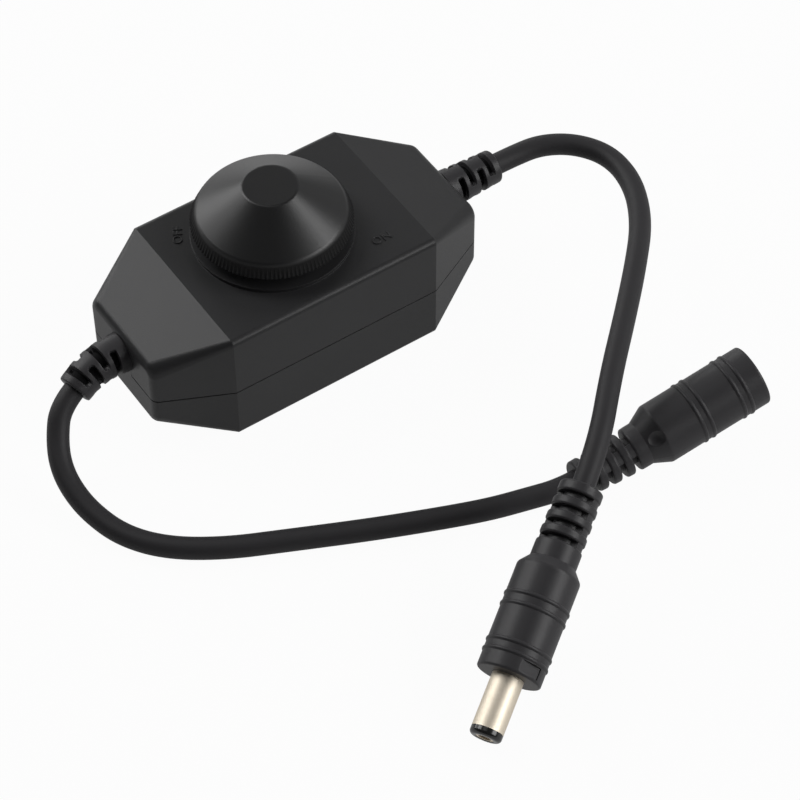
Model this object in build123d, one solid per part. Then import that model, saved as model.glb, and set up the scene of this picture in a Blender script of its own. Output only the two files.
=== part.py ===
from build123d import *
import math
import os

# Inline rotary dimmer for a low-voltage light strip. Millimetres, +Z up.
# The origin is the centre of the housing's underside; X runs along the housing,
# the output lead leaves at +X, the input lead at -X, and -Y is the front.

# Housing: two moulded halves of a box that tapers on all four sides at both ends
body_length = 68.0
body_width = 33.0
body_height = 24.5
mid_length = 41.8
end_width = 20.5
end_height = 14.4
edge_round = 1.1
end_corner = 2.6
end_round = 1.8
inner_corner = 0.4
wall = 1.8
end_wall = 2.2
seam_z = 11.3
seam_gap = 0.25
seam_depth = 0.4
lip_height = 1.2
lip_thickness = 0.8
lip_gap = 0.1

# Case screws, from below into bosses of the upper half
screw_x = 17.2
screw_y = 11.5
screw_radius = 1.25
screw_length = 12.0
screw_head_radius = 2.2
screw_head_height = 1.6
screw_seat_z = 4.5
screw_cross = 0.7
screw_cross_depth = 0.8
screw_gap = 0.05
screw_recess_gap = 0.3
boss_wall = 0.9
upper_boss_radius = 2.5

# Knob and the round seat under it
knob_x = -1.4
knob_y = 1.7
seat_radius = 14.5
seat_height = 0.7
skirt_lift = 3.35
skirt_radius = 14.45
skirt_height = 2.25
shoulder_radius = 13.4
shoulder_round = 2.0
knob_height = 8.25
knob_top_radius = 4.9
knob_top_round = 0.8
knob_wall = 1.6
knob_cap = 1.7
hub_radius = 5.0
hub_gap = 0.4
rib_count = 120
rib_depth = 0.2
rib_height = 1.8

# Potentiometer under the top wall
pot_radius = 8.25
pot_plate = 1.5
wafer_thickness = 1.2
wafer_hole_gap = 0.3
wafer_tongue = 3.0
wafer_tongue_width = 12.0
can_height = 5.8
can_wall = 0.5
bush_radius = 3.5
bush_hole_gap = 0.1
bush_spare = 1.0
shaft_radius = 3.0
shaft_running_gap = 0.05
shaft_flat = 1.5
shaft_flat_length = 6.0
shaft_stub_radius = 2.0
shaft_end_gap = 0.2
bore_gap = 0.03
rotor_radius = 6.2
rotor_thickness = 1.8
rotor_gap = 0.4
washer_radius = 6.0
washer_thickness = 0.5
nut_flats = 10.0
nut_thickness = 2.0
terminal_pitch = 3.8
terminal_width = 1.2
terminal_thickness = 0.5
terminal_inset = 1.4
terminal_tail = 0.9
terminal_gap = 0.15

# Circuit board and what stands on it
board_length = 50.0
board_width = 21.0
board_thickness = 1.6
board_z = 8.0
board_boss_gap = 0.5
post_x = 12.5
post_y = 7.5
post_radius = 1.6
peg_radius = 0.9
peg_height = 0.6
peg_gap = 0.1
fet_x = 12.6
fet_y = -3.4
fet_length = 6.5
fet_width = 6.1
fet_height = 2.3
fet_leg = 2.4
fet_leg_width = 0.9
fet_leg_thickness = 0.5
fet_leg_pitch = 4.6
chip_x = -14.5
chip_y = 0.0
chip_length = 5.0
chip_width = 3.9
chip_height = 1.5
chip_legs = 4
chip_leg_pitch = 1.27
chip_leg_width = 0.45
chip_leg_reach = 1.0
chip_leg_thickness = 0.3
cap_x = 16.6
cap_y = 3.2
cap_radius = 3.15
cap_height = 7.0
cap_round = 0.5
cap_groove = 0.35
smd_length = 2.0
smd_width = 1.25
smd_height = 0.6
smd_column_x = 8.6
smd_pitch = 2.4

# Lead boots: rings around a core, tied by webs that alternate by a quarter turn
boot_z = 15.2
boot_length = 10.9
boot_root_radius = 3.7
boot_end_radius = 3.15
boot_core_radius = 2.3
boot_ring = 1.1
boot_root_ring = 1.9
boot_end_ring = 1.55
boot_round = 0.3
boot_web = 3.0
boot_ring_count = 5
boot_neck_radius = 2.8
boot_neck_gap = 0.05
boot_flange = 1.2
boot_flange_width = 8.4
boot_flange_drop = 3.4
boot_flange_gap = 0.2
tab_top = 1.5
output_exit = (1.0, 0.0, 0.0)
output_web_turn = 82.0
input_exit = (-0.89, -0.255, -0.376)
input_web_turn = 66.0

# Leads
cord_radius = 2.0
wire_radius = 0.8
wire_pitch = 2.2
wire_bend = 3.5
pad_x = 23.0

# Connectors: 5.5 mm barrel plug and its jack
grip_round = 0.4
grip_rib = 0.2
grip_bead = 0.45
shoulder_blend = 1.0
relief_root_radius = 4.05
relief_core_radius = 2.5
relief_ring = 1.6
relief_root_ring = 1.0
relief_end_ring = 1.9
relief_round = 0.4
relief_web = 2.4
relief_ring_count = 5
liner_gap = 0.05

plug_front = (-14.37, -88.46, 6.36)
plug_heading = (-0.7896, -0.5095, -0.342)
plug_grip_radius = 5.55
plug_grip = 18.67
plug_ribs = (3.1, 4.85, 11.2, 13.1)
plug_shoulder = 1.85
plug_neck = 2.2
plug_relief = 11.7
plug_relief_end = 3.8
plug_web_turn = 165.0
pocket_turn = 134.0
pocket_lean = 3.0
pocket_front = 0.5
pocket_length = 2.05
pocket_width = 4.1
pocket_depth = 0.5
barrel_radius = 2.75
barrel_wall = 0.4
barrel_length = 9.4
barrel_inset = 5.0
barrel_root_radius = 2.52
nose_length = 1.4
nose_round = 0.7
nose_wall = 0.7
nose_inset = 8.0
contact_bore_radius = 1.1
contact_recess = 0.1
contact_length = 12.0

jack_front = (55.65, -63.27, 11.02)
jack_heading = (0.971, -0.0808, 0.225)
jack_exit = (-0.984, 0.055, -0.07)
jack_grip_radius = 5.6
jack_grip = 20.1
jack_ribs = (3.6, 5.2, 11.6, 13.2)
jack_shoulder = 3.1
jack_neck = 1.4
jack_relief = 11.9
jack_relief_end = 3.5
jack_web_turn = -116.0
jack_bore_radius = 3.05
jack_bore_depth = 9.6
jack_insert_radius = 4.3
jack_insert_length = 13.0
jack_pin_radius = 1.0
jack_pin_recess = 0.8
jack_pin_foot = 2.2
jack_spring_width = 2.0
jack_spring_thickness = 0.3
jack_spring_length = 7.0
dimple_turn = 50.0
dimple_run = 21.4
dimple_radius = 2.6
dimple_depth = 0.55

# Derived places
half_length = body_length / 2
mid_z = body_height / 2
ceiling_z = body_height - wall
seat_z = body_height + seat_height
side_taper = math.atan2(body_width - end_width, body_length - mid_length)
slope_taper = math.atan2(body_height - end_height, body_length - mid_length)
screw_places = [(x, y) for x in (-screw_x, screw_x) for y in (-screw_y, screw_y)]
post_places = [(x, y) for x in (-post_x, post_x) for y in (-post_y, post_y)]
recess_radius = screw_head_radius + screw_recess_gap
lower_boss_radius = recess_radius + boss_wall
inner_end_x = half_length - end_wall
board_top = board_z + board_thickness


def form_section(x, width, height, corner):
    """Rounded cross-section of the housing at one place along it."""
    across = Plane(origin=(x, 0, mid_z), x_dir=(0, 1, 0), z_dir=(1, 0, 0))
    return across * RectangleRounded(width, height, corner)


def form_sizes(inset, end_inset):
    """Crease and end places, widths and heights of the housing form moved inwards."""
    crease = mid_length / 2 - inset * math.tan(side_taper / 2)
    end = half_length - end_inset
    width = body_width - 2 * inset
    height = body_height - 2 * inset
    narrow = width - 2 * (end - crease) * math.tan(side_taper)
    low = height - 2 * (end - crease) * math.tan(slope_taper)
    return crease, end, width, height, narrow, low


def housing_form(inset, end_inset):
    """Solid of the housing's outer form moved inwards by a wall."""
    crease, end, width, height, narrow, low = form_sizes(inset, end_inset)
    corner = max(edge_round - inset, inner_corner)
    tip = max(end_corner - end_inset, inner_corner)
    left_end = form_section(-end, narrow, low, tip)
    left = form_section(-crease, width, height, corner)
    right = form_section(crease, width, height, corner)
    right_end = form_section(end, narrow, low, tip)
    return loft([left_end, left, right, right_end], ruled=True)


def level(bottom, top):
    """Slab that covers the whole housing between two heights."""
    size = 2 * body_length
    return Pos(0, 0, bottom) * extrude(Rectangle(size, size), top - bottom)


def posts(places, radius, bottom, top):
    """Round posts at the given places between two heights."""
    discs = Sketch() + [Pos(x, y) * Circle(radius) for x, y in places]
    return Pos(0, 0, bottom) * extrude(discs, top - bottom)


def knob_stack(outline, bottom, top):
    """Prism of an outline on the knob axis between two heights."""
    return Pos(knob_x, knob_y, bottom) * extrude(outline, top - bottom)


# Housing shells
outer = housing_form(0, 0)
end_faces = outer.faces().sort_by(Axis.X)
outer = fillet(end_faces[0].edges() + end_faces[-1].edges(), end_round)
cavity = housing_form(wall, end_wall)
cavity_low = form_sizes(wall, end_wall)[5]
hollow = outer - cavity

neck_hole = boot_neck_radius + boot_neck_gap
notch_outline = Pos(0, boot_z) * Circle(neck_hole)
notch_outline += Pos(0, (seam_z + boot_z) / 2) * Rectangle(2 * neck_hole, boot_z - seam_z)
notch_plane = Plane(origin=(0, 0, 0), x_dir=(0, 1, 0), z_dir=(1, 0, 0))
notch_bar = extrude(notch_plane * notch_outline, body_length, both=True)
notches = notch_bar - level(-body_height, seam_z) - housing_form(end_wall, end_wall)
tab_outline = Pos(0, (seam_z + boot_z - tab_top) / 2) * Rectangle(
    2 * boot_neck_radius, boot_z - tab_top - seam_z)
tab_outline -= Pos(0, boot_z) * Circle(neck_hole)
tab_bar = extrude(notch_plane * tab_outline, half_length, both=True)
tab_clear = Pos(0, 0, mid_z) * Box(2 * inner_end_x, body_width, body_height)
tabs = tab_bar - tab_clear
neck_bar = extrude(notch_plane * Pos(0, boot_z) * Circle(neck_hole), body_length, both=True)
neck_bar -= tab_clear

lip_form = housing_form(wall - lip_thickness, end_wall - lip_thickness)
rebate_form = housing_form(wall - lip_thickness - lip_gap, end_wall - lip_thickness - lip_gap)
lip = (lip_form - cavity) & level(seam_z, seam_z + lip_height)
rebate = (rebate_form - cavity) & level(seam_z, seam_z + lip_height + lip_gap)
shadow_line = level(seam_z, seam_z + seam_gap) - housing_form(seam_depth, seam_depth)

seat_outline = Pos(knob_x, knob_y) * Circle(seat_radius)
seat_outline &= Rectangle(body_length, body_width - 2 * edge_round)
seat = Pos(0, 0, ceiling_z) * extrude(seat_outline, wall + seat_height)
bush_hole = knob_stack(Circle(bush_radius + bush_hole_gap), ceiling_z - wall, seat_z + wall)
screw_top = screw_seat_z + screw_length
pilot = posts(screw_places, screw_radius + screw_gap, seam_z, screw_top + wall)

upper_shell = hollow & level(seam_z, body_height)
upper_shell = upper_shell - rebate - shadow_line - notches
upper_shell += posts(screw_places, upper_boss_radius, seam_z, ceiling_z + wall / 2)
upper_shell += seat
upper_shell = upper_shell - pilot - bush_hole

lower_shell = hollow & level(0, seam_z)
lower_shell = lower_shell + lip + tabs - neck_bar
lower_shell += posts(screw_places, lower_boss_radius, wall / 2, seam_z)
lower_shell += posts(post_places, post_radius, wall / 2, board_z)
lower_shell += posts(post_places, peg_radius, board_z, board_top + peg_height)
lower_shell -= posts(screw_places, recess_radius, -wall, screw_seat_z)
lower_shell -= posts(screw_places, screw_radius + screw_recess_gap, 0, seam_z)

# Screws: pan heads with a cross, seated inside the lower bosses
cross = Rectangle(2 * screw_head_radius * 0.6, screw_cross)
cross += Rectangle(screw_cross, 2 * screw_head_radius * 0.6)
head = extrude(Circle(screw_head_radius), -screw_head_height)
head = fillet(head.faces().sort_by(Axis.Z)[0].edges(), screw_head_height / 2)
screw = head + extrude(Circle(screw_radius), screw_length)
screw -= Pos(0, 0, -screw_head_height) * extrude(cross, screw_cross_depth)
case_screws = Compound(children=[Pos(x, y, screw_seat_z) * screw for x, y in screw_places])

# Potentiometer, stacked down from the top wall
plate_z = ceiling_z - pot_plate
wafer_z = plate_z - wafer_thickness
can_z = wafer_z - can_height
bush_top = seat_z + washer_thickness + nut_thickness + bush_spare
shaft_hole = Circle(shaft_radius + shaft_running_gap)
pot_bush = knob_stack(Circle(pot_radius) - shaft_hole, plate_z, ceiling_z)
pot_bush += knob_stack(Circle(bush_radius) - shaft_hole, ceiling_z, bush_top)
wafer_outline = Circle(pot_radius)
wafer_outline += Pos(0, -pot_radius / 2 - wafer_tongue / 2) * Rectangle(
    wafer_tongue_width, pot_radius + wafer_tongue)
wafer_outline -= Circle(shaft_radius + wafer_hole_gap)
pot_wafer = knob_stack(wafer_outline, wafer_z, plate_z)
pot_cover = knob_stack(Circle(pot_radius), can_z, wafer_z)
pot_cover -= knob_stack(Circle(pot_radius - can_wall), can_z + can_wall, wafer_z)
terminal_y = -(pot_radius + wafer_tongue - terminal_inset)
terminal_xs = [-terminal_pitch, 0, terminal_pitch]
terminal_spots = [Pos(x, terminal_y) for x in terminal_xs]
terminal_bar = Rectangle(terminal_width, terminal_thickness)
terminal_bars = Sketch() + [spot * terminal_bar for spot in terminal_spots]
pot_terminals = knob_stack(terminal_bars, board_z - terminal_tail, wafer_z)
pot_washer = knob_stack(
    Circle(washer_radius) - Circle(bush_radius + bush_hole_gap), seat_z, seat_z + washer_thickness)
nut_outline = RegularPolygon(nut_flats / 2, 6, major_radius=False)
nut_outline -= Circle(bush_radius + bore_gap)
nut_z = seat_z + washer_thickness
pot_nut = knob_stack(nut_outline, nut_z, nut_z + nut_thickness)

# Turning parts: rotor, shaft and knob
skirt_z = body_height + skirt_lift
knob_top = skirt_z + knob_height
rotor_top = wafer_z - rotor_gap
rotor_z = rotor_top - rotor_thickness
shaft_top = knob_top - knob_cap - shaft_end_gap
pot_wiper = knob_stack(Circle(rotor_radius) - Circle(shaft_stub_radius + bore_gap), rotor_z, rotor_top)
pot_shaft = knob_stack(Circle(shaft_radius), rotor_top, shaft_top)
pot_shaft += knob_stack(Circle(shaft_stub_radius), rotor_z, rotor_top)
flat_side = Pos(shaft_flat + shaft_radius, 0) * Rectangle(2 * shaft_radius, 4 * shaft_radius)
pot_shaft -= knob_stack(flat_side, shaft_top - shaft_flat_length, shaft_top)

cone_rise = (knob_height - skirt_height) / (shoulder_radius - knob_top_radius)
cone_drop = knob_wall * math.sqrt(1 + cone_rise ** 2)
inner_shoulder = shoulder_radius - knob_wall
hub_z = bush_top + hub_gap - skirt_z


def cone_under(radius):
    """Height of the knob's hollow at a radius, above the skirt's edge."""
    return skirt_height + cone_rise * (shoulder_radius - radius) - cone_drop


skirt_valley = skirt_radius - rib_depth
skirt_lean = (skirt_radius - shoulder_radius) / skirt_height
knob_face = make_face(Polyline(
    (0, hub_z),
    (hub_radius, hub_z),
    (hub_radius, cone_under(hub_radius)),
    (inner_shoulder, cone_under(inner_shoulder)),
    (skirt_radius - knob_wall, 0),
    (skirt_valley, 0),
    (shoulder_radius, skirt_height),
    (knob_top_radius, knob_height),
    (0, knob_height),
    close=True))
shoulder_point = knob_face.vertices().sort_by_distance((shoulder_radius, skirt_height))[0]
knob_face = fillet(shoulder_point, shoulder_round)
rim_point = knob_face.vertices().sort_by_distance((knob_top_radius, knob_height))[0]
knob_face = fillet(rim_point, knob_top_round)
knob_form = revolve(Plane.XZ * knob_face, Axis.Z)


def toothed(radius, height):
    """Outline of the skirt's ribs at one height."""
    points = []
    for i in range(2 * rib_count):
        reach = radius if i % 2 == 0 else radius - rib_depth
        turn = math.pi * i / rib_count
        points.append((reach * math.cos(turn), reach * math.sin(turn)))
    return Pos(0, 0, height) * make_face(Polyline(*points, close=True))


rib_top_radius = skirt_radius - skirt_lean * rib_height
ribs = loft([toothed(skirt_radius, 0), toothed(rib_top_radius, rib_height)], ruled=True)
rib_core = skirt_valley - knob_wall / 2
ribs -= extrude(Circle(rib_core - skirt_lean * rib_height), rib_height)
bore_outline = Circle(shaft_radius + bore_gap)
bore_outline -= Pos(bore_gap, 0) * flat_side
knob_bore = Pos(0, 0, hub_z) * extrude(bore_outline, shaft_top + shaft_end_gap - skirt_z - hub_z)
knob = Pos(knob_x, knob_y, skirt_z) * (knob_form + ribs - knob_bore)

# Circuit board with scallops for the screw bosses, holes for pegs and terminals
board_outline = Rectangle(board_length, board_width)
board_outline -= [Pos(x, y) * Circle(lower_boss_radius + board_boss_gap) for x, y in screw_places]
board_outline -= [Pos(x, y) * Circle(peg_radius + peg_gap) for x, y in post_places]
terminal_slot = Rectangle(terminal_width + 2 * terminal_gap, terminal_thickness + 2 * terminal_gap)
board_outline -= [Pos(knob_x, knob_y) * spot * terminal_slot for spot in terminal_spots]
circuit_board = Pos(0, 0, board_z) * extrude(board_outline, board_thickness)

fet_block = Pos(0, 0, fet_height / 2) * Box(fet_length, fet_width, fet_height)
fet_block = chamfer(fet_block.faces().sort_by(Axis.Z)[-1].edges(), fet_height / 5)
leg_bar = Rectangle(fet_leg, fet_leg_width)
leg_reach = -fet_length / 2 - fet_leg / 2
fet_legs = Sketch() + [Pos(leg_reach, y) * leg_bar for y in (-fet_leg_pitch / 2, fet_leg_pitch / 2)]
fet_legs += Pos(fet_length / 2, 0) * Rectangle(fet_leg, fet_width * 0.85)
mosfet = Pos(fet_x, fet_y, board_top) * (fet_block + extrude(fet_legs, fet_leg_thickness))

chip_block = Pos(0, 0, chip_height / 2) * Box(chip_length, chip_width, chip_height)
leg_offsets = [(i - (chip_legs - 1) / 2) * chip_leg_pitch for i in range(chip_legs)]
leg_bar = Rectangle(chip_leg_width, chip_width + 2 * chip_leg_reach)
leg_bars = Sketch() + [Pos(x, 0) * leg_bar for x in leg_offsets]
pwm_chip = Pos(chip_x, chip_y, board_top) * (chip_block + extrude(leg_bars, chip_leg_thickness))

cap_face = make_face(Polyline(
    (0, 0), (cap_radius, 0), (cap_radius, cap_height), (0, cap_height), close=True))
cap_rim = cap_face.vertices().sort_by_distance((cap_radius, cap_height))[0]
cap_face = fillet(cap_rim, cap_round)
cap_face -= Pos(cap_radius, 4 * cap_groove) * Circle(cap_groove)
capacitor = Pos(cap_x, cap_y, board_top) * revolve(Plane.XZ * cap_face, Axis.Z)

smd_spots = [Pos(smd_column_x, y) for y in (smd_pitch, 2 * smd_pitch, 3 * smd_pitch)]
smd_spots += [Pos(-smd_column_x, y) for y in (-smd_pitch, 0, smd_pitch)]
smd = extrude(Rectangle(smd_length, smd_width), smd_height)
chip_parts = Compound(children=[Pos(0, 0, board_top) * spot * smd for spot in smd_spots])


def relief_frame(heading, exit_heading):
    """Direction across a strain relief and its bend from root to exit, in radians."""
    bend = math.radians(heading.get_angle(exit_heading))
    if bend < 0.001:
        return heading.cross(Vector(0, 0, -1)).normalized(), 0
    return heading.cross(exit_heading).normalized(), bend


def strain_relief(start, heading, exit_heading, length, sizes, turn, step):
    """Ringed strain relief that flexes between its root ring and its end collar.

    Webs tie neighbouring rings on opposite sides. Each groove's pair of webs is
    turned by a step from the last: a quarter turn lets a boot flex both ways, and
    none lines the webs up into two spines.
    """
    root, tip, core, first, ring, last, soft, web, count = sizes
    across, bend = relief_frame(heading, exit_heading)
    lean = across.cross(heading)
    supple = length - first - last

    def station(run):
        """Plane across the relief at a distance from its root."""
        flexed = min(max(run - first, 0), supple)
        angle = bend * flexed / supple
        tangent = heading * math.cos(angle) + lean * math.sin(angle)
        place = start + heading * min(run, first)
        if bend:
            radius = supple / bend
            place += heading * (radius * math.sin(angle)) + lean * (radius * (1 - math.cos(angle)))
        else:
            place += heading * flexed
        place += tangent * max(run - first - supple, 0)
        return Plane(origin=place, x_dir=across, z_dir=tangent)

    relief = Part()
    if bend:
        hinge = Axis(station(first).origin + lean * (supple / bend), across)
        relief += revolve(station(first) * Circle(core), hinge, math.degrees(bend))
    else:
        relief += extrude(station(first) * Circle(core), supple)
    widths = [first] + [ring] * (count - 2) + [last]
    groove = (length - sum(widths)) / (count - 1)
    run = 0
    for i, width in enumerate(widths):
        near = root + (tip - root) * run / length
        far = root + (tip - root) * (run + width) / length
        disc = Cone(near, far, width)
        rims = disc.edges().filter_by(GeomType.CIRCLE).sort_by(Axis.Z)
        disc = fillet(rims if i else rims[-1:], soft)
        relief += station(run + width / 2) * disc
        if i < count - 1:
            tie = station(run + width + groove / 2) * Rot(0, 0, turn + step * (i % 2))
            reach = root + (tip - root) * (run + width + groove + ring / 2) / length - soft / 2
            band = groove + ring / 2
            relief += tie * (Cylinder(reach, band) & Box(3 * reach, web, band))
        run += width + groove
    return relief, station(length)


boot_sizes = (boot_root_radius, boot_end_radius, boot_core_radius, boot_root_ring,
              boot_ring, boot_end_ring, boot_round, boot_web, boot_ring_count)
plug_sizes = (relief_root_radius, plug_relief_end, relief_core_radius, relief_root_ring,
              relief_ring, relief_end_ring, relief_round, relief_web, relief_ring_count)
jack_sizes = (relief_root_radius, jack_relief_end, relief_core_radius, relief_root_ring,
              relief_ring, relief_end_ring, relief_round, relief_web, relief_ring_count)


def lead_boot(side, exit_heading, turn):
    """Boot of one lead, with the neck and flange that hold it in the end wall."""
    heading = Vector(side, 0, 0)
    start = Vector(side * half_length, 0, boot_z)
    boot, end = strain_relief(start, heading, exit_heading, boot_length, boot_sizes, turn, 90)
    inward = Plane(origin=start, x_dir=(0, 1, 0), z_dir=(-side, 0, 0))
    boot += extrude(inward * Circle(boot_neck_radius), end_wall)
    top = mid_z + cavity_low / 2 - boot_flange_gap
    bottom = boot_z - boot_flange_drop
    place = (side * (inner_end_x - boot_flange / 2), 0, (top + bottom) / 2)
    boot += Pos(*place) * Box(boot_flange, boot_flange_width, top - bottom)
    return boot, end


output_boot, output_end = lead_boot(1, Vector(*output_exit).normalized(), output_web_turn)
input_boot, input_end = lead_boot(-1, Vector(*input_exit).normalized(), input_web_turn)


def moulded_grip(frame, radius, grip, ribs_at, shoulder, neck):
    """Grip of a connector, revolved about its axis from the front face backwards."""
    back = grip + shoulder + neck
    outline = make_face(Polyline(
        (0, 0), (radius, 0), (radius, grip), (relief_root_radius, grip + shoulder),
        (relief_root_radius, back), (0, back), close=True))
    rim = outline.vertices().sort_by_distance((radius, 0))[0]
    outline = fillet(rim, grip_round)
    heel = outline.vertices().sort_by_distance((radius, grip))[0]
    outline = fillet(heel, shoulder_blend)
    for place in ribs_at:
        outline += Pos(radius + grip_rib - grip_bead, place) * Circle(grip_bead)
    return frame * revolve(Plane.XZ * outline, Axis.Z)


def connector_frame(front, heading):
    """Plane on a connector's front face, with its normal pointing back along the grip."""
    return Plane(origin=front, x_dir=heading.cross(Vector(0, 0, 1)), z_dir=heading * -1)


# Barrel plug of the output lead
plug_axis = Vector(*plug_heading).normalized()
plug_frame = connector_frame(Vector(*plug_front), plug_axis)
plug_body = moulded_grip(
    plug_frame, plug_grip_radius, plug_grip, plug_ribs, plug_shoulder, plug_neck)
plug_root = Vector(*plug_front) - plug_axis * (plug_grip + plug_shoulder + plug_neck)
plug_tail, plug_end = strain_relief(
    plug_root, plug_axis * -1, plug_axis * -1, plug_relief, plug_sizes, plug_web_turn, 0)
plug_body += plug_tail
plug_body -= plug_frame * extrude(Circle(barrel_root_radius + liner_gap), barrel_inset)
pocket_spot = Pos(plug_grip_radius, 0, pocket_front + pocket_length / 2) * Rot(0, 0, pocket_lean)
pocket = Box(2 * pocket_depth, pocket_width, pocket_length)
plug_body -= plug_frame * Rot(0, 0, pocket_turn) * pocket_spot * pocket
barrel_bore = barrel_radius - barrel_wall
barrel_ring = Circle(barrel_radius) - Circle(barrel_bore)
root_ring = Circle(barrel_root_radius) - Circle(barrel_bore)
plug_sleeve = plug_frame * (extrude(barrel_ring, -barrel_length) + extrude(root_ring, barrel_inset))
nose_bore = barrel_bore - liner_gap - nose_wall
nose_tip = -barrel_length - nose_length
nose_face = make_face(Polyline(
    (nose_bore, nose_tip),
    (barrel_radius, nose_tip),
    (barrel_radius, -barrel_length),
    (barrel_bore - liner_gap, -barrel_length),
    (barrel_bore - liner_gap, -barrel_length + nose_inset),
    (nose_bore, -barrel_length + nose_inset),
    close=True))
nose_rim = nose_face.vertices().sort_by_distance((barrel_radius, nose_tip))[0]
nose_face = fillet(nose_rim, nose_round)
plug_tip = plug_frame * revolve(Plane.XZ * nose_face, Axis.Z)
contact_ring = Circle(nose_bore - liner_gap) - Circle(contact_bore_radius)
plug_contact = plug_frame * Pos(0, 0, nose_tip + contact_recess) * extrude(contact_ring, contact_length)

# Barrel jack of the input lead
jack_axis = Vector(*jack_heading).normalized()
jack_frame = connector_frame(Vector(*jack_front), jack_axis)
jack_body = moulded_grip(
    jack_frame, jack_grip_radius, jack_grip, jack_ribs, jack_shoulder, jack_neck)
jack_root = Vector(*jack_front) - jack_axis * (jack_grip + jack_shoulder + jack_neck)
jack_tail, jack_end = strain_relief(
    jack_root, jack_axis * -1, Vector(*jack_exit).normalized(), jack_relief, jack_sizes, jack_web_turn, 0)
jack_body += jack_tail
jack_body -= jack_frame * extrude(Circle(jack_insert_radius + liner_gap), jack_insert_length)
dimple_slope = math.atan2(jack_grip_radius - relief_root_radius, jack_shoulder)
dimple_out = dimple_radius - dimple_depth
dimple_seat = jack_grip_radius - (dimple_run - jack_grip) * math.tan(dimple_slope)
dimple_spot = Pos(
    dimple_seat + dimple_out * math.cos(dimple_slope), 0, dimple_run + dimple_out * math.sin(dimple_slope))
jack_body -= jack_frame * Rot(0, 0, dimple_turn) * dimple_spot * Sphere(dimple_radius)
jack_insert = extrude(Circle(jack_insert_radius), jack_insert_length)
jack_insert -= extrude(Circle(jack_bore_radius), jack_bore_depth)
jack_insert -= extrude(Circle(jack_pin_radius + liner_gap), jack_bore_depth + jack_pin_foot)
jack_insert = jack_frame * jack_insert
spring_arc = Circle(jack_bore_radius) - Circle(jack_bore_radius - jack_spring_thickness)
spring_arc &= Pos(0, -jack_bore_radius) * Rectangle(jack_spring_width, jack_bore_radius)
jack_spring = extrude(spring_arc, jack_spring_length)
jack_spring = jack_frame * Pos(0, 0, jack_bore_depth - jack_spring_length) * jack_spring
pin_length = jack_bore_depth - jack_pin_recess + jack_pin_foot
jack_pin = extrude(Circle(jack_pin_radius), pin_length)
jack_pin = fillet(jack_pin.faces().sort_by(Axis.Z)[0].edges(), jack_pin_radius * 0.7)
jack_pin = jack_frame * Pos(0, 0, jack_pin_recess) * jack_pin


# Leads: straight runs joined by tangent arcs, as large as the runs allow
def cord(points, name):
    """Round lead along a route; prints its radii, length and volume."""
    places = [Vector(*point) for point in points]
    runs = [places[i + 1] - places[i] for i in range(len(places) - 1)]
    radii = []
    for before, after in zip(runs, runs[1:]):
        half_turn = math.radians(before.get_angle(after)) / 2
        radii.append(0.45 * min(before.length, after.length) / math.tan(half_turn))
    path = FilletPolyline(*places, radius=radii)
    section = Plane(origin=places[0], z_dir=runs[0]) * Circle(cord_radius)
    tube = sweep(section, path)
    straight = math.pi * cord_radius ** 2 * path.length
    print(name, "radii", [round(radius, 1) for radius in radii])
    print(name, "runs", [round(run.length, 1) for run in runs])
    print(name, "length", round(path.length, 1), "volume ratio", round(tube.volume / straight, 4))
    print(name, "points", [tuple(round(c, 2) for c in place) for place in places])
    return tube


output_start = output_end.origin
output_finish = plug_end.origin
output_cord = cord([
    output_start,
    output_start + output_end.z_dir * 4.2,
    (54.9, -1.1, 15.9),
    (60.4, -4.7, 15.9),
    (63.7, -10.7, 15.9),
    (62.7, -18.9, 16.3),
    (57.6, -28.0, 17.3),
    (49.4, -36.9, 18.7),
    (40.1, -46.1, 20.1),
    (29.8, -55.9, 21.3),
    output_finish + plug_end.z_dir * 7.8,
    output_finish,
], "output_cord")

input_start = input_end.origin
input_finish = jack_end.origin
input_cord = cord([
    input_start,
    input_start + input_end.z_dir * 4.0,
    (-50.6, -5.4, 8.7),
    (-52.4, -9.0, 6.6),
    (-53.0, -13.3, 4.8),
    (-52.4, -18.7, 3.2),
    (-50.1, -25.5, 2.2),
    (-45.2, -31.9, 2.05),
    (-37.2, -37.5, 2.05),
    (-27.2, -42.2, 2.05),
    (-13.9, -48.4, 2.05),
    (-2.0, -53.4, 2.05),
    (5.1, -56.3, 2.3),
    (11.1, -58.3, 2.8),
    input_finish + jack_end.z_dir * 3.6,
    input_finish,
], "input_cord")


def inner_wire(side, y):
    """Wire from a boot's flange down to its pad on the board."""
    start = Vector(side * (inner_end_x - boot_flange), y, boot_z)
    corner = Vector(side * pad_x, y, boot_z)
    path = FilletPolyline(start, corner, Vector(side * pad_x, y, board_top), radius=wire_bend)
    return sweep(Plane(origin=start, z_dir=(-side, 0, 0)) * Circle(wire_radius), path)


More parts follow.
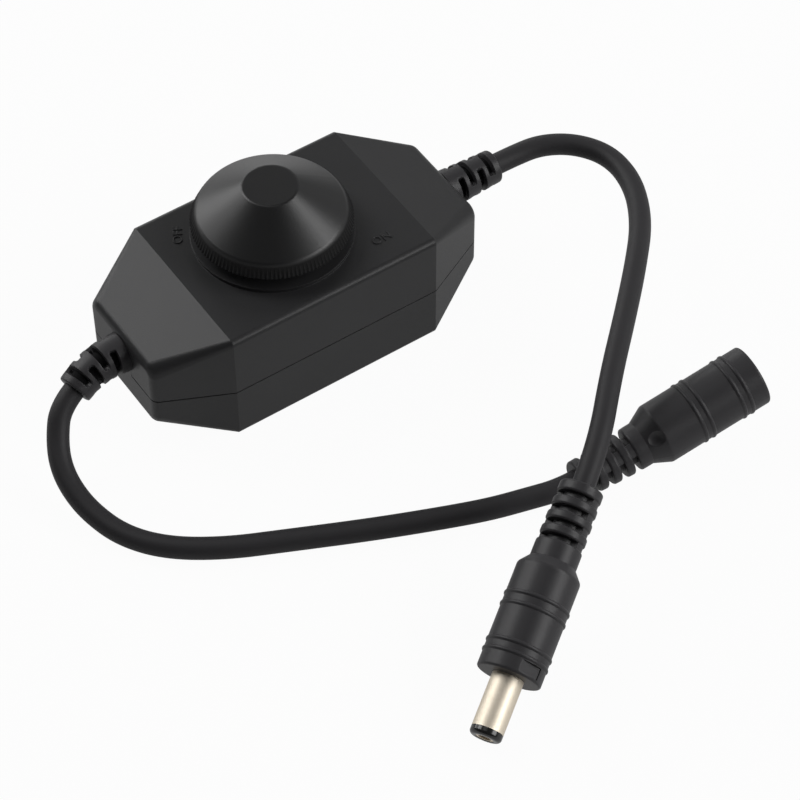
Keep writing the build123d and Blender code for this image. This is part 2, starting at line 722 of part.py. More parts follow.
pieces = {
    "upper_shell": upper_shell,
    "lower_shell": lower_shell,
    "case_screws": case_screws,
    "pot_bush": pot_bush,
    "pot_wafer": pot_wafer,
    "pot_cover": pot_cover,
    "pot_terminals": pot_terminals,
    "pot_washer": pot_washer,
    "pot_nut": pot_nut,
    "pot_wiper": pot_wiper,
    "pot_shaft": pot_shaft,
    "knob": knob,
    "circuit_board": circuit_board,
    "mosfet": mosfet,
    "pwm_chip": pwm_chip,
    "capacitor": capacitor,
    "chip_parts": chip_parts,
    "output_boot": output_boot,
    "input_boot": input_boot,
    "output_cord": output_cord,
    "input_cord": input_cord,
    "output_wire_red": inner_wire(1, wire_pitch / 2),
    "output_wire_black": inner_wire(1, -wire_pitch / 2),
    "input_wire_red": inner_wire(-1, wire_pitch / 2),
    "input_wire_black": inner_wire(-1, -wire_pitch / 2),
    "plug_body": plug_body,
    "plug_sleeve": plug_sleeve,
    "plug_tip": plug_tip,
    "plug_contact": plug_contact,
    "jack_body": jack_body,
    "jack_insert": jack_insert,
    "jack_pin": jack_pin,
    "jack_spring": jack_spring,
}

os.makedirs("parts", exist_ok=True)
for name, piece in pieces.items():
    export_step(piece, "parts/" + name + ".step")
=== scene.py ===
"""Looks of an inline rotary dimmer for a low-voltage light strip.

A black two-part housing tapers at both ends and carries a conical knob. An input lead ends
in a barrel jack and an output lead ends in a barrel plug. Metres, +Z up, +X along the housing.
"""

import logging
import math
from dataclasses import dataclass
from enum import Enum

import bpy
from mathutils import Matrix, Vector


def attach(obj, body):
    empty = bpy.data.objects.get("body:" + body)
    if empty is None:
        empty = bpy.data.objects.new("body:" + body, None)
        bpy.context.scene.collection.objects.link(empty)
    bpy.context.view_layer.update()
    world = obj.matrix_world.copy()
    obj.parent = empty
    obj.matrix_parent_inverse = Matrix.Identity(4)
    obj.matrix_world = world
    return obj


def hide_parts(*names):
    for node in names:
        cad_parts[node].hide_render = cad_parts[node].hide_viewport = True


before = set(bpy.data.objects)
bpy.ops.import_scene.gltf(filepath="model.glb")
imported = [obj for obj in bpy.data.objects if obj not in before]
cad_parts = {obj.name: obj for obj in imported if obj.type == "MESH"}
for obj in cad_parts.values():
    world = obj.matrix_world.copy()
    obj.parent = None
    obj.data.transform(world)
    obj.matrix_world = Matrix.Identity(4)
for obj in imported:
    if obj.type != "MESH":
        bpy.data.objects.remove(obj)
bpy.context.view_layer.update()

MM = 0.001
LOG = logging.getLogger("dimmer")

# Sockets of the mix node, which are told apart by number because their names repeat.
MIX_FACTOR = 0
MIX_VALUE_A, MIX_VALUE_B, MIX_VALUE_OUT = 2, 3, 0
MIX_COLOUR_A, MIX_COLOUR_B, MIX_COLOUR_OUT = 6, 7, 2
# How finely the grain and the slow patches of a surface break up.
GRAIN_NOISE = {"Detail": 3.0, "Roughness": 0.6}
PATCH_NOISE = {"Detail": 2.0, "Roughness": 0.5}
WHITE = (1.0, 1.0, 1.0, 1.0)


class Body(Enum):
    """The two bodies of the dimmer that move against each other."""

    HOUSING = "housing"
    DIAL = "dial"


class Slot(Enum):
    """The record's material slots for the housing's and the leads' finishes."""

    HOUSING = "housing_abs"
    LEAD = "lead_pvc"


class FarEnd(Enum):
    """What a lead ends in."""

    PLUG = "plug"
    CONNECTOR = "connector"


def linear(hex_colour: str) -> tuple[float, float, float, float]:
    """Turns an sRGB hex colour into linear RGBA.

    Args:
        hex_colour: Six hex digits with a leading hash.

    Returns:
        Red, green, blue and alpha, each from 0 to 1.
    """
    parts = [int(hex_colour[i:i + 2], 16) / 255 for i in (1, 3, 5)]
    red, green, blue = (c / 12.92 if c <= 0.04045 else ((c + 0.055) / 1.055) ** 2.4 for c in parts)
    return red, green, blue, 1.0


def add_node(
    tree: bpy.types.NodeTree,
    kind: str,
    settings: dict | None = None,
    links: dict | None = None,
    **attributes: object,
) -> bpy.types.Node:
    """Adds a shader node with its settings and links.

    Args:
        tree: The node tree that gets the node.
        kind: The name of the node's type.
        settings: Values by input socket.
        links: Output sockets by input socket.
        **attributes: The node's own options.

    Returns:
        The new node.
    """
    node = tree.nodes.new(kind)
    for name, value in attributes.items():
        setattr(node, name, value)
    for socket, value in (settings or {}).items():
        node.inputs[socket].default_value = value
    for socket, source in (links or {}).items():
        tree.links.new(source, node.inputs[socket])
    return node


def blank_material(name: str) -> tuple[bpy.types.Material, bpy.types.NodeTree]:
    """Makes an empty node material.

    Args:
        name: The material's name.

    Returns:
        The material and its cleared node tree.
    """
    material = bpy.data.materials.new(name)
    material.use_nodes = True
    material.node_tree.nodes.clear()
    return material, material.node_tree


@dataclass(frozen=True)
class MouldedPlastic:
    """A moulded plastic with the grain that its mould leaves.

    The grain breaks up the sheen, and the colour drifts in slow patches as flow in the mould
    makes it. Edges are eased. The foot of a piece can be left matt up to a height, with its colour
    painted darker there as painted shade.
    """

    name: str
    colour: str
    patch_colour: str
    roughness: tuple[float, float]
    specular: float
    grain_mm: float
    grain_depth_mm: float
    patch_mm: float = 9.0
    edge_mm: float = 0.12
    matt_and_shade_below_mm: float | None = None
    matt_and_shade_blend_mm: float = 0.6
    painted_shade_colour: str = "#070708"
    matt_roughness: float = 0.95
    grain_strength: float = 0.6
    edge_samples: int = 6
    ior: float = 1.53

    def material(self) -> bpy.types.Material:
        """Builds the plastic's node material.

        Returns:
            The new material.
        """
        material, tree = blank_material(self.name)
        place = add_node(tree, "ShaderNodeTexCoord").outputs["Object"]
        patches = add_node(
            tree, "ShaderNodeTexNoise",
            {"Scale": 1 / (self.patch_mm * MM), **PATCH_NOISE}, {"Vector": place})
        grain = add_node(
            tree, "ShaderNodeTexNoise",
            {"Scale": 1 / (self.grain_mm * MM), **GRAIN_NOISE}, {"Vector": place})
        tone = add_node(
            tree, "ShaderNodeMix",
            {MIX_COLOUR_A: linear(self.colour), MIX_COLOUR_B: linear(self.patch_colour)},
            {MIX_FACTOR: patches.outputs["Fac"]}, data_type="RGBA").outputs[MIX_COLOUR_OUT]
        low, high = self.roughness
        sheen = add_node(
            tree, "ShaderNodeMapRange", {"To Min": low, "To Max": high},
            {"Value": grain.outputs["Fac"]}).outputs["Result"]
        # Below the given height the colour is painted near black as painted shade, and the
        # roughness turns matt.
        if self.matt_and_shade_below_mm is not None:
            height = add_node(tree, "ShaderNodeSeparateXYZ", links={"Vector": place}).outputs["Z"]
            end = self.matt_and_shade_below_mm * MM
            above = add_node(
                tree, "ShaderNodeMapRange",
                {"From Min": end - self.matt_and_shade_blend_mm * MM, "From Max": end},
                {"Value": height}).outputs["Result"]
            tone = add_node(
                tree, "ShaderNodeMix", {MIX_COLOUR_A: linear(self.painted_shade_colour)},
                {MIX_FACTOR: above, MIX_COLOUR_B: tone},
                data_type="RGBA").outputs[MIX_COLOUR_OUT]
            sheen = add_node(
                tree, "ShaderNodeMix", {MIX_VALUE_A: self.matt_roughness},
                {MIX_FACTOR: above, MIX_VALUE_B: sheen}).outputs[MIX_VALUE_OUT]
        rounded = add_node(
            tree, "ShaderNodeBevel", {"Radius": self.edge_mm * MM}, samples=self.edge_samples)
        bump = add_node(
            tree, "ShaderNodeBump",
            {"Strength": self.grain_strength, "Distance": self.grain_depth_mm * MM},
            {"Height": grain.outputs["Fac"], "Normal": rounded.outputs["Normal"]})
        shader = add_node(
            tree, "ShaderNodeBsdfPrincipled",
            {"Specular IOR Level": self.specular, "IOR": self.ior},
            {"Base Color": tone, "Roughness": sheen, "Normal": bump.outputs["Normal"]})
        add_node(tree, "ShaderNodeOutputMaterial", links={"Surface": shader.outputs["BSDF"]})
        return material


@dataclass(frozen=True)
class PlatedMetal:
    """A metal surface with the fine lines that drawing, turning or rolling leaves."""

    name: str
    colour: str
    worn_colour: str
    roughness: tuple[float, float]
    line_mm: float
    line_depth_mm: float
    line_stretch: tuple[float, float, float] = (1.0, 1.0, 1.0)
    line_strength: float = 0.3

    def material(self) -> bpy.types.Material:
        """Builds the metal's node material.

        Returns:
            The new material.
        """
        material, tree = blank_material(self.name)
        place = add_node(tree, "ShaderNodeTexCoord").outputs["Object"]
        stretched = add_node(
            tree, "ShaderNodeMapping", {"Scale": self.line_stretch}, {"Vector": place})
        lines = add_node(
            tree, "ShaderNodeTexNoise",
            {"Scale": 1 / (self.line_mm * MM), **GRAIN_NOISE},
            {"Vector": stretched.outputs["Vector"]})
        tone = add_node(
            tree, "ShaderNodeMix",
            {MIX_COLOUR_A: linear(self.colour), MIX_COLOUR_B: linear(self.worn_colour)},
            {MIX_FACTOR: lines.outputs["Fac"]}, data_type="RGBA")
        low, high = self.roughness
        sheen = add_node(
            tree, "ShaderNodeMapRange", {"To Min": low, "To Max": high},
            {"Value": lines.outputs["Fac"]})
        bump = add_node(
            tree, "ShaderNodeBump",
            {"Strength": self.line_strength, "Distance": self.line_depth_mm * MM},
            {"Height": lines.outputs["Fac"]})
        shader = add_node(
            tree, "ShaderNodeBsdfPrincipled", {"Metallic": 1.0},
            {"Base Color": tone.outputs[MIX_COLOUR_OUT], "Roughness": sheen.outputs["Result"],
             "Normal": bump.outputs["Normal"]})
        add_node(tree, "ShaderNodeOutputMaterial", links={"Surface": shader.outputs["BSDF"]})
        return material


# ABS from a spark-eroded mould: an even satin black. The real grain is about 0.1 mm, drawn
# at 0.3 mm so that it shows.
HOUSING_ABS = MouldedPlastic(
    "ABS_black_spark_eroded", "#262627", "#29292a", roughness=(0.36, 0.46), specular=0.29,
    grain_mm=0.3, grain_depth_mm=0.02)
# ABS from a polished mould: smoother than the housing, with long soft reflections. The ribbed
# skirt below the shoulder is left matt, and its colour is painted near black there as painted
# shade.
KNOB_ABS = MouldedPlastic(
    "ABS_black_satin", "#101011", "#131314", roughness=(0.33, 0.41), specular=0.44,
    grain_mm=0.35, grain_depth_mm=0.01, matt_and_shade_below_mm=30.3)
# Soft PVC, over-moulded on the connectors and boots: a faintly waxy satin.
LEAD_PVC = MouldedPlastic(
    "PVC_black_over_moulded", "#2b2a2c", "#302f31", roughness=(0.38, 0.50), specular=0.31,
    grain_mm=0.4, grain_depth_mm=0.02, patch_mm=6.0)
# The same PVC on the floors of the boots' slots, made rougher and painted dark: painted shade in
# the slots.
SLOT_SHADE_PVC = MouldedPlastic(
    "PVC_black_slot_floor_painted_shade", "#0c0c0d", "#0f0f10", roughness=(0.75, 0.85), specular=0.1,
    grain_mm=0.4, grain_depth_mm=0.02, patch_mm=6.0)
# Soft PVC, extruded as the leads' sheath: duller than the moulded pieces.
CORD_PVC = MouldedPlastic(
    "PVC_black_extruded", "#282729", "#2c2b2d", roughness=(0.50, 0.62), specular=0.26,
    grain_mm=0.4, grain_depth_mm=0.02, patch_mm=6.0)
# Nylon of the connectors' insulators: denser black with a clearer gloss.
NYLON = MouldedPlastic(
    "nylon_black", "#1a1a1a", "#1e1e1e", roughness=(0.16, 0.22), specular=0.5,
    grain_mm=0.3, grain_depth_mm=0.005, patch_mm=4.0)
# Nickel over brass: bright and warm.
NICKEL = PlatedMetal(
    "nickel_on_brass", "#efe6d6", "#e4d9c6", roughness=(0.50, 0.58), line_mm=0.5,
    line_depth_mm=0.004)
# Bright zinc over steel: cooler and duller than nickel.
ZINC = PlatedMetal(
    "zinc_on_steel", "#b9bbbd", "#a7a9ab", roughness=(0.30, 0.42), line_mm=0.6,
    line_depth_mm=0.006)
# Turned aluminium of the shaft: fine lines around it.
ALUMINIUM = PlatedMetal(
    "aluminium_turned", "#cfd0d2", "#bfc0c2", roughness=(0.28, 0.38), line_mm=0.4,
    line_depth_mm=0.006, line_stretch=(0.1, 0.1, 1.0))
# Phenolic paper laminate of the potentiometer's wafer: brown, with pressed fibres.
PHENOLIC = MouldedPlastic(
    "phenolic_paper_laminate", "#7a4d26", "#8a5a2e", roughness=(0.40, 0.55), specular=0.5,
    grain_mm=0.5, grain_depth_mm=0.02, patch_mm=2.0)
# Natural acetal of the rotor: milky white.
ACETAL = MouldedPlastic(
    "acetal_natural", "#dcd8ce", "#e4e1d8", roughness=(0.35, 0.45), specular=0.5,
    grain_mm=0.4, grain_depth_mm=0.01, patch_mm=4.0)
# Solder mask over glass-epoxy: glossy green with the weave's faint print.
BOARD = MouldedPlastic(
    "glass_epoxy_green_mask", "#1d5a33", "#226a3b", roughness=(0.22, 0.34), specular=0.5,
    grain_mm=0.5, grain_depth_mm=0.01, patch_mm=1.2)
# Moulded epoxy of the chips: matt charcoal.
EPOXY = MouldedPlastic(
    "epoxy_moulding_compound", "#242424", "#2b2b2b", roughness=(0.55, 0.68), specular=0.4,
    grain_mm=0.12, grain_depth_mm=0.01, patch_mm=1.5)
# Shrink sleeve of the capacitor: smooth dark blue.
SLEEVE = MouldedPlastic(
    "PVC_shrink_sleeve", "#14204e", "#182659", roughness=(0.22, 0.30), specular=0.5,
    grain_mm=0.5, grain_depth_mm=0.004, patch_mm=3.0)
# Extruded PVC of the wires' insulation: glossy.
WIRE_RED = MouldedPlastic(
    "PVC_wire_red", "#a81a1c", "#b52022", roughness=(0.28, 0.36), specular=0.5,
    grain_mm=0.4, grain_depth_mm=0.004, patch_mm=4.0)
WIRE_BLACK = MouldedPlastic(
    "PVC_wire_black", "#1c1c1c", "#212121", roughness=(0.28, 0.36), specular=0.5,
    grain_mm=0.4, grain_depth_mm=0.004, patch_mm=4.0)


def dress(finish: MouldedPlastic | PlatedMetal, *nodes: str) -> None:
    """Gives CAD nodes a finish.

    Args:
        finish: The finish to use.
        *nodes: Names of the nodes.
    """
    material = finish.material()
    for name in nodes:
        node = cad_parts[name]
        node.data.materials.clear()
        node.data.materials.append(material)
        LOG.info("%s: %s", name, material.name)


def add_piece(
    name: str, data: bpy.types.ID, material: bpy.types.Material, body: Body
) -> bpy.types.Object:
    """Adds a piece to the scene and lets it ride on a body.

    Args:
        name: The piece's name.
        data: Its mesh or curve.
        material: Its material.
        body: The body that carries it.

    Returns:
        The new object.
    """
    piece = bpy.data.objects.new(name, data)
    bpy.context.scene.collection.objects.link(piece)
    data.materials.clear()
    data.materials.append(material)
    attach(piece, body.value)
    LOG.info("%s: %s", name, material.name)
    return piece


@dataclass
class Housing:
    """The two shells, their screws and the marks moulded on the top."""

    top_z_mm: float = 24.5
    mark_size_mm: float = 2.4
    mark_depth_mm: float = 0.14
    off_mark_mm: tuple[float, float] = (-15.6, 10.2)
    off_turn_deg: float = 60.0
    on_mark_mm: tuple[float, float] = (13.4, -10.6)
    on_turn_deg: float = 0.0

    def dress(self) -> None:
        """Gives the shells and screws their finishes."""
        dress(HOUSING_ABS, "upper_shell", "lower_shell")
        dress(ZINC, "case_screws")

    def build_mark(self, word: str, place_mm: tuple[float, float], turn_deg: float) -> None:
        """Raises a small word on the top face.

        Args:
            word: The word.
            place_mm: Where its middle is on the top face.
            turn_deg: How far its baseline is turned from +X.
        """
        text = bpy.data.curves.new("mark_" + word, "FONT")
        text.body = word
        text.size = self.mark_size_mm * MM
        text.align_x = "CENTER"
        text.align_y = "CENTER"
        text.extrude = self.mark_depth_mm * MM
        mark = bpy.data.objects.new("mark_text", text)
        mesh = bpy.data.meshes.new_from_object(mark)
        bpy.data.objects.remove(mark)
        x, y = place_mm
        place = Matrix.Translation(Vector((x, y, self.top_z_mm)) * MM)
        mesh.transform(place @ Matrix.Rotation(math.radians(turn_deg), 4, "Z"))
        add_piece("mark_" + word.lower(), mesh, HOUSING_ABS.material(), Body.HOUSING)

    def build(self) -> None:
        """Builds the marks."""
        self.build_mark("OFF", self.off_mark_mm, self.off_turn_deg)
        self.build_mark("ON", self.on_mark_mm, self.on_turn_deg)


@dataclass
class Control:
    """The knob and the potentiometer that it turns."""

    def dress(self) -> None:
        """Gives the knob and the potentiometer their finishes."""
        dress(KNOB_ABS, "knob")
        dress(ZINC, "pot_bush", "pot_washer", "pot_nut", "pot_cover")
        dress(ALUMINIUM, "pot_shaft")
        dress(PHENOLIC, "pot_wafer")
        dress(ACETAL, "pot_wiper")
        dress(NICKEL, "pot_terminals")


@dataclass
class Electronics:
    """The circuit board, its parts and the wires to it."""

    def dress(self) -> None:
        """Gives the board, its parts and the wires their finishes."""
        dress(BOARD, "circuit_board")
        dress(EPOXY, "mosfet", "pwm_chip", "chip_parts")
        dress(SLEEVE, "capacitor")
        dress(WIRE_RED, "input_wire_red", "output_wire_red")
        dress(WIRE_BLACK, "input_wire_black", "output_wire_black")


@dataclass
class FlexBoot:
    """A moulded boot that lets a lead flex, with rows of slots in its wall.

    Each row has two opposite slots, down to the lead, and is a quarter turn from the last. The
    wall between the slots is flush.
    """

    name: str
    node: str
    root_mm: tuple[float, float, float]
    heading: tuple[float, float, float]
    exit_heading: tuple[float, float, float]
    web_turn_deg: float
    length_mm: float = 10.9
    root_radius_mm: float = 3.7
    end_radius_mm: float = 3.15
    core_radius_mm: float = 2.05
    neck_mm: float = 2.0
    neck_radius_mm: float = 2.8
    root_ring_mm: float = 1.9
    end_ring_mm: float = 1.55
    ring_mm: float = 1.0
    slot_rows: int = 4
    row_turn_deg: float = 90.0
    slot_half_deg: float = 64.0
    slot_round_mm: float = 0.4
    slot_edge_mm: float = 0.2
    floor_depth_mm: float = 0.4
    end_round_mm: float = 0.35
    step_mm: float = 0.1
    columns: int = 144
    straight_rad: float = 0.001
    sharp_deg: float = 50.0

    def station(self, run_mm: float) -> tuple[Vector, Vector, Vector]:
        """Places a cross-section of the boot.

        Args:
            run_mm: Distance along the boot from the housing's wall.

        Returns:
            The section's middle in millimetres and its two directions.
        """
        heading = Vector(self.heading).normalized()
        leaving = Vector(self.exit_heading).normalized()
        bend = heading.angle(leaving)
        bent = bend > self.straight_rad
        across = heading.cross(leaving if bent else Vector((0, 0, -1))).normalized()
        lean = across.cross(heading)
        supple = self.length_mm - self.root_ring_mm - self.end_ring_mm
        flexed = min(max(run_mm - self.root_ring_mm, 0.0), supple)
        angle = bend * flexed / supple
        tangent = heading * math.cos(angle) + lean * math.sin(angle)
        place = Vector(self.root_mm) + heading * min(run_mm, self.root_ring_mm)
        if bent:
            radius = supple / bend
            place += heading * (radius * math.sin(angle)) + lean * (radius * (1 - math.cos(angle)))
        else:
            place += heading * flexed
        place += tangent * max(run_mm - self.root_ring_mm - supple, 0.0)
        return place, across, tangent.cross(across)

    def slot_depth(self, run_mm: float, angle: float, radius_mm: float) -> float:
        """Tells how deep the slots are at a point of the wall.

        Args:
            run_mm: Distance along the boot.
            angle: Angle around it, in radians.
            radius_mm: The wall's outer radius there.

        Returns:
            The depth in millimetres, 0 away from the slots.
        """
        ends = self.root_ring_mm + self.end_ring_mm + (self.slot_rows - 1) * self.ring_mm
        width = (self.length_mm - ends) / self.slot_rows
        nearest = math.inf
        for row in range(self.slot_rows):
            middle = self.root_ring_mm + row * (width + self.ring_mm) + width / 2
            web = math.radians(self.web_turn_deg + self.row_turn_deg * (row % 2))
            turned = abs((angle - web) % math.pi - math.pi / 2)
            along = abs(run_mm - middle) - (width / 2 - self.slot_round_mm)
            reach = math.radians(self.slot_half_deg) * radius_mm - self.slot_round_mm
            around = turned * radius_mm - reach
            outside = math.hypot(max(along, 0.0), max(around, 0.0))
            nearest = min(nearest, outside + min(max(along, around), 0.0) - self.slot_round_mm)
        share = min(max(0.5 - nearest / self.slot_edge_mm, 0.0), 1.0)
        return (radius_mm - self.core_radius_mm) * share * share * (3 - 2 * share)

    def sections(self) -> list[tuple[float, float]]:
        """Lists the boot's sections from inside the wall to its end.

        Returns:
            Runs and outer radii in millimetres.
        """
        rows = [(-self.neck_mm, self.neck_radius_mm), (0.0, self.neck_radius_mm)]
        count = round(self.length_mm / self.step_mm)
        taper = self.end_radius_mm - self.root_radius_mm
        for i in range(count + 1):
            run = self.length_mm * i / count
            radius = self.root_radius_mm + taper * i / count
            past = max(run - self.length_mm + self.end_round_mm, 0.0)
            drop = self.end_round_mm - math.sqrt(max(self.end_round_mm ** 2 - past ** 2, 0.0))
            rows.append((run, radius - drop))
        return rows

    def build(self) -> None:
        """Builds the boot as one closed tube."""
        points, faces, depths = [], [], []
        for run, radius in self.sections():
            place, across, side = self.station(run)
            for column in range(self.columns):
                angle = 2 * math.pi * column / self.columns
                depth = self.slot_depth(run, angle, radius) if run > 0 else 0.0
                around = across * math.cos(angle) + side * math.sin(angle)
                points.append((place + around * (radius - depth)) * MM)
                depths.append(depth)
        for start in range(0, len(points) - self.columns, self.columns):
            for column in range(self.columns):
                a, b = start + column, start + (column + 1) % self.columns
                faces.append((a, b, b + self.columns, a + self.columns))
        faces.append(tuple(range(self.columns - 1, -1, -1)))
        faces.append(tuple(range(len(points) - self.columns, len(points))))
        mesh = bpy.data.meshes.new(self.name)
        mesh.from_pydata(points, [], faces)
        mesh.polygons.foreach_set("use_smooth", [True] * len(faces))
        mesh.set_sharp_from_angle(angle=math.radians(self.sharp_deg))
        boot = add_piece(self.name, mesh, LEAD_PVC.material(), Body.HOUSING)
        # Faces deep in the slots get a second material, whose dark colour is painted shade in the
        # slots.
        mesh.materials.append(SLOT_SHADE_PVC.material())
        painted_shade_faces = [min(depths[i] for i in face) > self.floor_depth_mm for face in faces]
        mesh.polygons.foreach_set("material_index", [int(low) for low in painted_shade_faces])
        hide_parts(self.node)


@dataclass
class Lead:
    """A round lead along its route, with the connector at its end."""

    name: str
    node: str
    route_mm: tuple[tuple[float, float, float], ...]
    length_mm: float
    far_end: FarEnd
    soft_nodes: tuple[str, ...]
    nylon_nodes: tuple[str, ...]
    metal_nodes: tuple[str, ...]
    radius_mm: float = 2.0
    ring_steps: int = 8
    path_steps: int = 24

    def build(self) -> bpy.types.Object:
        """Builds the lead as a smooth spline tube.

        Returns:
            The lead's object.
        """
        curve = bpy.data.curves.new(self.name, "CURVE")
        curve.dimensions = "3D"
        curve.bevel_depth = self.radius_mm * MM
        curve.bevel_resolution = self.ring_steps
        curve.resolution_u = self.path_steps
        curve.use_fill_caps = True
        spline = curve.splines.new("NURBS")
        spline.points.add(len(self.route_mm) - 1)
        for point, place in zip(spline.points, self.route_mm):
            point.co = (*(c * MM for c in place), 1.0)
        spline.order_u = 3
        spline.use_endpoint_u = True
        lead = add_piece(self.name, curve, CORD_PVC.material(), Body.HOUSING)
        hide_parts(self.node)
        return lead

    def dress(self, lead: bpy.types.Object) -> None:
        """Args:
            lead: The lead's object, not used.
        """
        dress(LEAD_PVC, *self.soft_nodes)
        dress(NYLON, *self.nylon_nodes)
        dress(NICKEL, *self.metal_nodes)


# The leads' routes in millimetres, from the boots to the connectors.
OUTPUT_ROUTE = (
    (44.9, 0.0, 15.2), (49.1, 0.0, 15.2), (54.9, -1.1, 15.9), (60.4, -4.7, 15.9),
    (63.7, -10.7, 15.9), (62.7, -18.9, 16.3), (57.6, -28.0, 17.3), (49.4, -36.9, 18.7),
    (40.1, -46.1, 20.1), (29.8, -55.9, 21.3), (18.97, -66.95, 20.8), (12.81, -70.92, 18.13))
INPUT_ROUTE = (
    (-44.46, -1.36, 13.19), (-48.02, -2.38, 11.68), (-50.6, -5.4, 8.7), (-52.4, -9.0, 6.6),
    (-53.0, -13.3, 4.8), (-52.4, -18.7, 3.2), (-50.1, -25.5, 2.2), (-45.2, -31.9, 2.05),
    (-37.2, -37.5, 2.05), (-27.2, -42.2, 2.05), (-13.9, -48.4, 2.05), (-2.0, -53.4, 2.05),
    (5.1, -56.3, 2.3), (11.1, -58.3, 2.8), (16.44, -60.28, 3.54), (20.03, -60.48, 3.79))


@dataclass
class Softbox:
    """A large soft lamp, aimed at the middle of the object."""

    name: str
    place_mm: tuple[float, float, float]
    watts: float
    size_mm: tuple[float, float] = (450.0, 450.0)
    aim_mm: tuple[float, float, float] = (0.0, -25.0, 10.0)

    def build(self) -> None:
        """Builds the lamp."""
        lamp = bpy.data.lights.new(self.name, "AREA")
        lamp.shape = "RECTANGLE"
        lamp.size, lamp.size_y = (s * MM for s in self.size_mm)
        lamp.energy = self.watts
        holder = bpy.data.objects.new(self.name, lamp)
        holder.location = Vector(self.place_mm) * MM
        aim = (Vector(self.aim_mm) - Vector(self.place_mm)).to_track_quat("-Z", "Y")
        holder.rotation_mode = "QUATERNION"
        holder.rotation_quaternion = aim
        bpy.context.scene.collection.objects.link(holder)


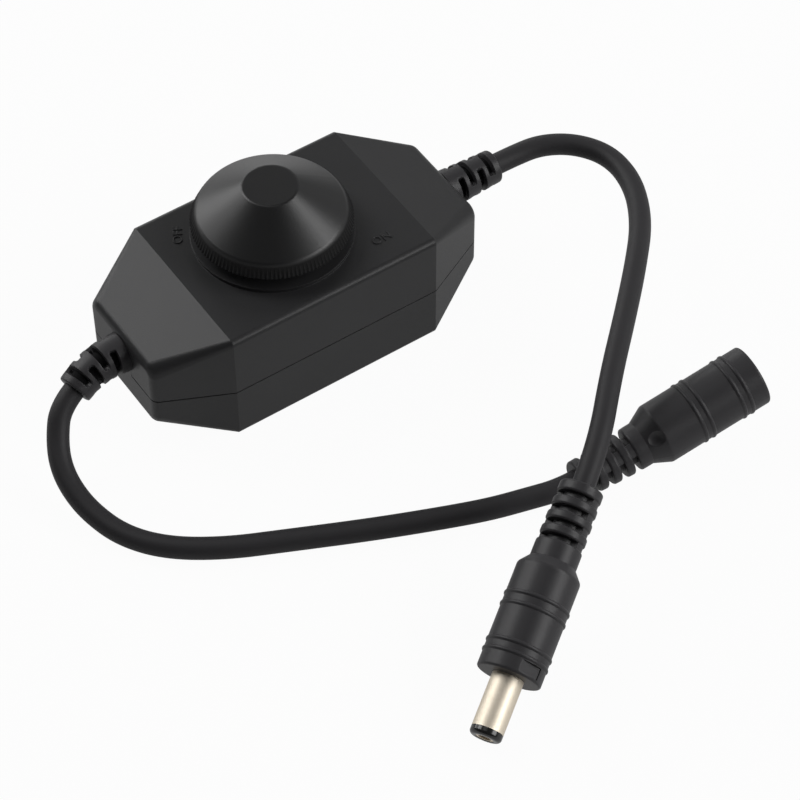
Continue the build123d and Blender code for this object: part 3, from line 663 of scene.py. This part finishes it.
@dataclass
class Studio:
    """The floor, the lamps, the backdrop's light and the camera."""

    floor_mm: float = 4000.0
    floor_drop_mm: float = 0.02
    floor_colour: str = "#c4c4c4"
    floor_glow: float = 0.96
    floor_mirror: float = 0.4
    room_grey: float = 0.05
    room_mirror: float = 0.06
    azimuth_deg: float = -33.8
    elevation_deg: float = 50.6
    roll_deg: float = -0.4
    target_mm: tuple[float, float, float] = (6.6, -26.1, 0.3)
    distance_mm: float = 532.5
    lens_mm: float = 135.0
    sensor_mm: float = 36.0
    clip_mm: tuple[float, float] = (10.0, 50000.0)

    def backdrop_share(
        self, tree: bpy.types.NodeTree, seen: float, mirrored: float
    ) -> bpy.types.NodeSocket:
        """Tells rays that show the backdrop from rays that only light the object.

        Args:
            tree: The node tree that asks.
            seen: The share for rays straight from the camera.
            mirrored: The share for rays that come by a reflection or through a clear piece.

        Returns:
            A socket with the share, which is 0 for all other rays.
        """
        path = add_node(tree, "ShaderNodeLightPath")
        direct = add_node(
            tree, "ShaderNodeMath", {1: seen}, {0: path.outputs["Is Camera Ray"]},
            operation="MULTIPLY")
        bent = add_node(
            tree, "ShaderNodeMath",
            links={0: path.outputs["Is Glossy Ray"], 1: path.outputs["Is Transmission Ray"]},
            operation="MAXIMUM")
        mirror = add_node(
            tree, "ShaderNodeMath", {1: mirrored}, {0: bent.outputs[0]}, operation="MULTIPLY")
        return add_node(
            tree, "ShaderNodeMath", links={0: direct.outputs[0], 1: mirror.outputs[0]},
            operation="MAXIMUM").outputs[0]

    def build_floor(self) -> None:
        """Builds the pale floor, which keeps a faint shadow."""
        half = self.floor_mm * MM / 2
        mesh = bpy.data.meshes.new("floor")
        corners = [(-half, -half, 0), (half, -half, 0), (half, half, 0), (-half, half, 0)]
        mesh.from_pydata(corners, [], [(0, 1, 2, 3)])
        floor = bpy.data.objects.new("floor", mesh)
        floor.location.z = -self.floor_drop_mm * MM
        bpy.context.scene.collection.objects.link(floor)
        material, tree = blank_material("paper_white")
        paper = add_node(
            tree, "ShaderNodeBsdfDiffuse", {"Color": linear(self.floor_colour)})
        glow = add_node(tree, "ShaderNodeEmission", {"Color": WHITE, "Strength": 1.0})
        share = self.backdrop_share(tree, self.floor_glow, self.floor_mirror)
        mixed = add_node(
            tree, "ShaderNodeMixShader",
            links={0: share, 1: paper.outputs[0], 2: glow.outputs[0]})
        add_node(tree, "ShaderNodeOutputMaterial", links={"Surface": mixed.outputs[0]})
        mesh.materials.append(material)

    def build_room(self) -> None:
        """Builds the world: white where it is seen, a plain grey where it only lights."""
        world = bpy.data.worlds.new("studio")
        world.use_nodes = True
        tree = world.node_tree
        tree.nodes.clear()
        level = add_node(
            tree, "ShaderNodeMath", {1: self.room_grey},
            {0: self.backdrop_share(tree, 1.0, self.room_mirror)}, operation="MAXIMUM")
        light = add_node(
            tree, "ShaderNodeBackground", {"Color": WHITE},
            {"Strength": level.outputs[0]})
        add_node(tree, "ShaderNodeOutputWorld", links={"Surface": light.outputs[0]})
        bpy.context.scene.world = world

    def build_lamps(self) -> None:
        """Builds the soft lamps."""
        for lamp in (
            Softbox("lamp_left", (-330, 600, 730), 3.6),
            Softbox("lamp_left_low", (-300, 900, 320), 2.2),
            Softbox("lamp_back", (250, 920, 300), 1.4),
            Softbox("lamp_back_right", (640, 460, 480), 0.75, (600, 600)),
            Softbox("lamp_right_low", (950, 60, 300), 0.3),
            Softbox("lamp_right", (690, -386, 610), 2.6, (350, 350)),
            Softbox("lamp_front", (460, -710, 450), 3.5, (500, 450)),
            Softbox("lamp_top", (-100, 50, 1000), 0.6, (500, 500)),
        ):
            lamp.build()

    def build_camera(self) -> None:
        """Builds the camera at the photograph's viewing angle."""
        turn, lift = math.radians(self.azimuth_deg), math.radians(self.elevation_deg)
        back = Vector((
            math.sin(turn) * math.cos(lift), -math.cos(turn) * math.cos(lift), math.sin(lift)))
        data = bpy.data.cameras.new("camera")
        data.lens = self.lens_mm
        data.sensor_width = self.sensor_mm
        data.clip_start, data.clip_end = (c * MM for c in self.clip_mm)
        camera = bpy.data.objects.new("camera", data)
        look = (-back).to_track_quat("-Z", "Y").to_matrix().to_4x4()
        roll = Matrix.Rotation(math.radians(self.roll_deg), 4, "Z")
        eye = (Vector(self.target_mm) + back * self.distance_mm) * MM
        camera.matrix_world = Matrix.Translation(eye) @ look @ roll
        bpy.context.scene.collection.objects.link(camera)
        bpy.context.scene.camera = camera

    def build(self) -> None:
        """Builds the whole studio."""
        self.build_floor()
        self.build_room()
        self.build_lamps()
        self.build_camera()
        bpy.context.scene.view_settings.view_transform = "Standard"


def main() -> None:
    """Builds the studio and the dimmer's sub-assemblies in order."""
    logging.basicConfig(level=logging.INFO, format="%(message)s")
    Studio().build()
    housing = Housing()
    housing.build()
    housing.dress()
    Control().dress()
    Electronics().dress()
    for lead in (
        Lead("output_lead", "output_cord", OUTPUT_ROUTE, 104.6, FarEnd.PLUG,
             soft_nodes=("plug_body",), nylon_nodes=("plug_tip",),
             metal_nodes=("plug_sleeve", "plug_contact")),
        Lead("input_lead", "input_cord", INPUT_ROUTE, 110.6, FarEnd.CONNECTOR,
             soft_nodes=("jack_body",), nylon_nodes=("jack_insert",),
             metal_nodes=("jack_pin", "jack_spring")),
    ):
        lead.dress(lead.build())
    for boot in (
        FlexBoot("output_flex_boot", "output_boot", root_mm=(34.0, 0.0, 15.2),
                 heading=(1, 0, 0), exit_heading=(1, 0, 0), web_turn_deg=92.0),
        FlexBoot("input_flex_boot", "input_boot", root_mm=(-34.0, 0.0, 15.2),
                 heading=(-1, 0, 0), exit_heading=(-0.89, -0.255, -0.376), web_turn_deg=56.0),
    ):
        boot.build()


if __name__ == "__main__":
    main()
